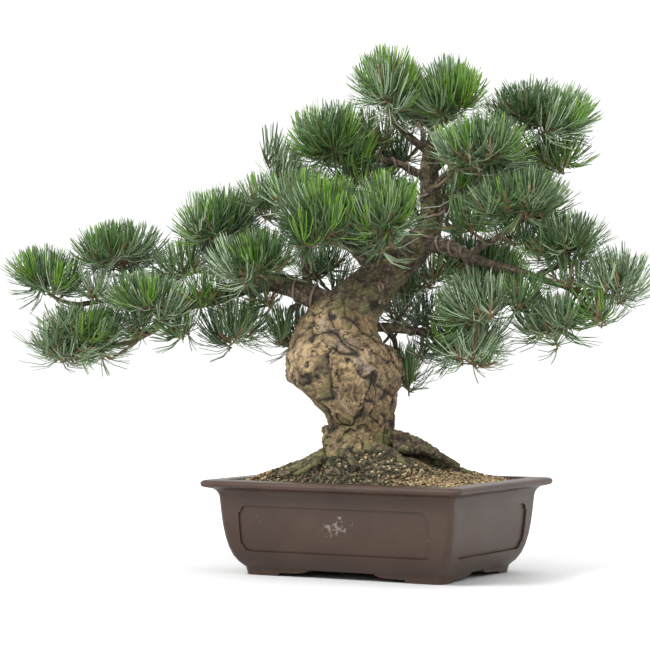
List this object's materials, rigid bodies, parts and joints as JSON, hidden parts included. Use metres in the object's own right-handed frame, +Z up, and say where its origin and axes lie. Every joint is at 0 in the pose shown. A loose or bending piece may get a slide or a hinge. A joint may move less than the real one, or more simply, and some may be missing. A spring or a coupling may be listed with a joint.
{
  "type": "japanese white pine bonsai",
  "caption": "Bonsai pine with a swollen, plated trunk, a long left bough and layered pads of needles, in a brown oblong pot on four feet.",
  "frame": {"origin": "middle of the plant's bounding box, on the plane that the pot's feet stand on", "axes": "+Z up, X along the pot's long side, Y along its short side; the crown's broad side is turned 29.4 degrees from X"},
  "size_m": [0.7482, 0.3446, 0.5834],
  "materials": {
    "pot": "unglazed, smooth, slightly polished on the lip",
    "soil": "loose grains with moss",
    "trunk_bark": "rough plates with deep cracks",
    "bough_bark": "rough bark",
    "needles": "fine needles, green outside and blue-white inside"
  },
  "bodies": {
    "root": {"bough_apex_back": "bough_bark", "bough_apex_left": "bough_bark", "bough_back_left": "bough_bark", "bough_back_right": "bough_bark", "bough_far_left": "bough_bark", "bough_far_left_inner": "bough_bark", "bough_far_left_tip": "bough_bark", "bough_far_left_top": "bough_bark", "bough_far_right": "bough_bark", "bough_far_right_low": "bough_bark", "bough_far_right_top": "bough_bark", "bough_front": "bough_bark", "bough_front_left": "bough_bark", "bough_left": "bough_bark", "bough_left_back": "bough_bark", "bough_left_front": "bough_bark", "bough_left_hanging": "bough_bark", "bough_left_top": "bough_bark", "bough_left_under": "bough_bark", "bough_low_hanging": "bough_bark", "bough_low_right": "bough_bark", "bough_right": "bough_bark", "bough_right_back": "bough_bark", "bough_right_front": "bough_bark", "bough_right_low": "bough_bark", "bough_right_middle": "bough_bark", "bough_tall_shoots": "bough_bark", "bough_upper_left": "bough_bark", "bough_upper_right": "bough_bark", "foliage_apex_back": "needles", "foliage_apex_left": "needles", "foliage_apex_right": "needles", "foliage_back_right": "needles", "foliage_centre_back": "needles", "foliage_centre_left": "needles", "foliage_centre_right": "needles", "foliage_far_left_inner": "needles", "foliage_far_left_low": "needles", "foliage_far_left_tip": "needles", "foliage_far_left_top": "needles", "foliage_far_right_low": "needles", "foliage_far_right_tip": "needles", "foliage_far_right_top": "needles", "foliage_left_back": "needles", "foliage_left_front": "needles", "foliage_left_hanging": "needles", "foliage_left_top": "needles", "foliage_left_under": "needles", "foliage_low_back": "needles", "foliage_low_hanging": "needles", "foliage_right_back": "needles", "foliage_right_front": "needles", "foliage_right_low": "needles", "foliage_right_middle": "needles", "foliage_tall_shoots": "needles", "foliage_upper_left": "needles", "foliage_upper_right": "needles", "pot": "pot", "soil": "soil", "trunk": "trunk_bark"}
  },
  "joints": []
}
